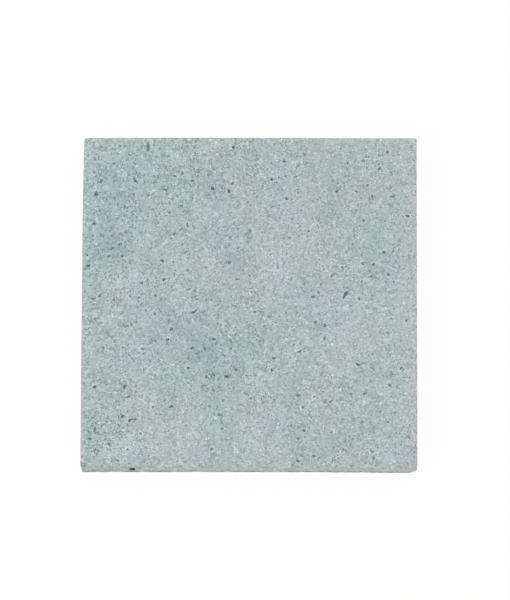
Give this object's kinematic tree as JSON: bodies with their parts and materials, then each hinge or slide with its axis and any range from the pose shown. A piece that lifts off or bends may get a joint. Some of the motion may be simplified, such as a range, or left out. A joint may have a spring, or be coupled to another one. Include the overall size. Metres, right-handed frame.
{
  "type": "natural stone tile",
  "caption": "Square slab of pale green-grey volcanic stone, honed on its upper face and sawn on its sides, with eased edges and worn corners.",
  "frame": {"origin": "centre of the bed face, the lower face that goes down into the mortar", "axes": "+Z from the bed face to the honed wear face, +X along one side and +Y towards the back side"},
  "size_m": [0.2, 0.2, 0.02],
  "materials": {
    "stone": "honed, matte, fine-grained with small open pores; sawn on the sides and bed"
  },
  "bodies": {
    "root": {"stone_tile": "stone"}
  },
  "joints": []
}
